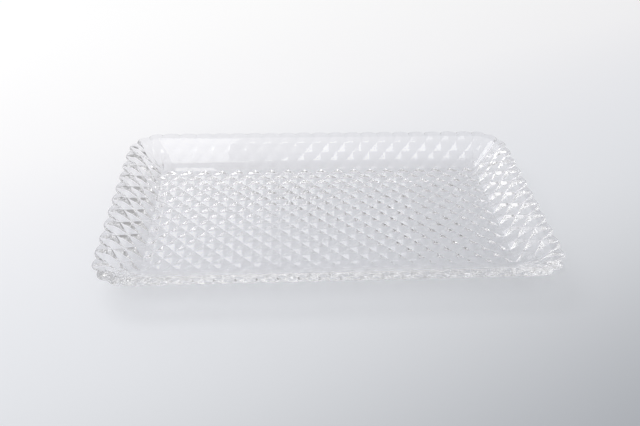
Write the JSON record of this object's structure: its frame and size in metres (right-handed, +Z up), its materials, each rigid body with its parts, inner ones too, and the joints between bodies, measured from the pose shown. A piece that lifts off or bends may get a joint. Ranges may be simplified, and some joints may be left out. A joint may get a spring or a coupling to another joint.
{
  "type": "serving plate",
  "caption": "Shallow rectangular serving plate pressed in one piece of clear glass, smooth inside, with a diamond pattern of crossing ridges and pits on the outside and underside and a scalloped rim.",
  "frame": {"origin": "on the table, under the middle of the plate", "axes": "+X along the plate's length, +Y across it, +Z up out of the open side"},
  "size_m": [0.3174, 0.1774, 0.0237],
  "materials": {
    "clear_glass": "clear, glossy, fire-polished"
  },
  "bodies": {
    "root": {"pressed_glass_plate": "clear_glass"}
  },
  "joints": []
}
